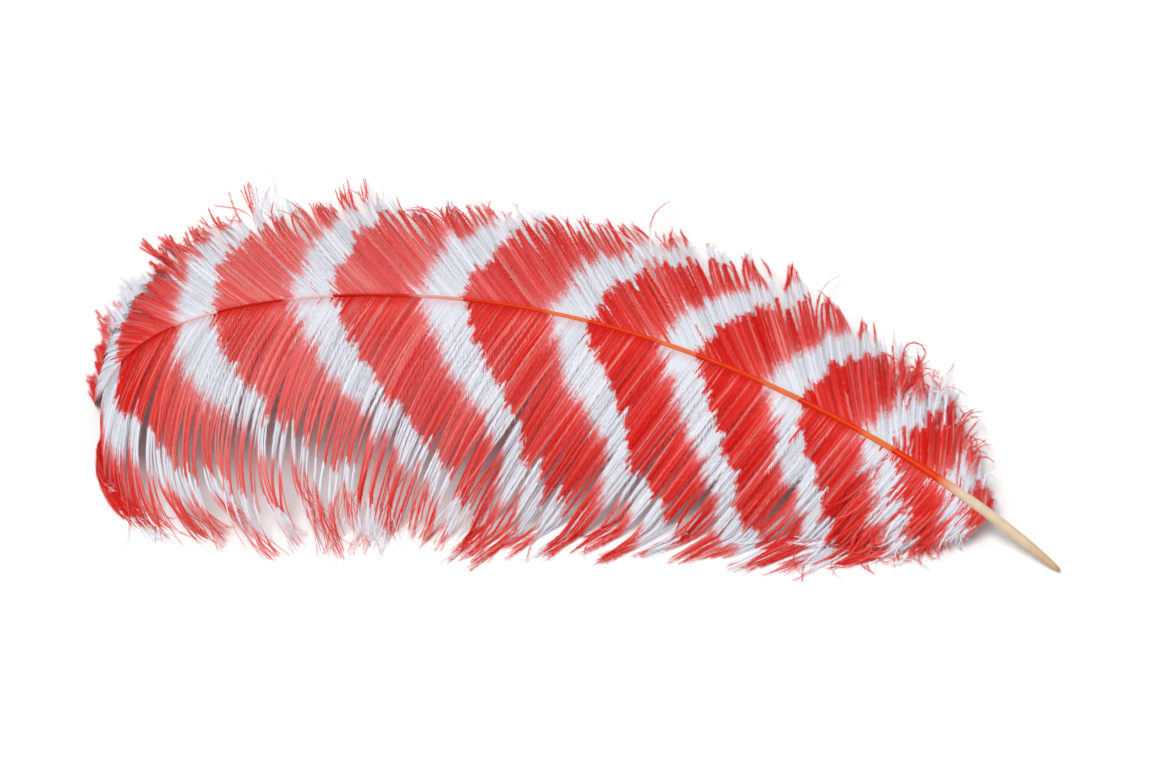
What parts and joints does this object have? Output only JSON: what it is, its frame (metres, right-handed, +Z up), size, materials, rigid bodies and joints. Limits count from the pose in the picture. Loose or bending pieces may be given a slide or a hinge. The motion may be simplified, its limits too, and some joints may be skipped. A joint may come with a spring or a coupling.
{
  "type": "ostrich feather",
  "caption": "Dyed ostrich plume with a bare quill, a bowed drooping shaft and two wide vanes parting into pointed locks, lying on a surface.",
  "frame": {"origin": "on the surface the feather lies on, under the middle of its outline seen from above", "axes": "+X from the drooping tip towards the bare quill, +Y towards the back vane, which the shaft bows to, +Z up"},
  "size_m": [0.3917, 0.1934, 0.0478],
  "materials": {
    "feather": "soft matt barbs dyed in red and white bands"
  },
  "bodies": {
    "root": {"feather": "feather"}
  },
  "joints": []
}
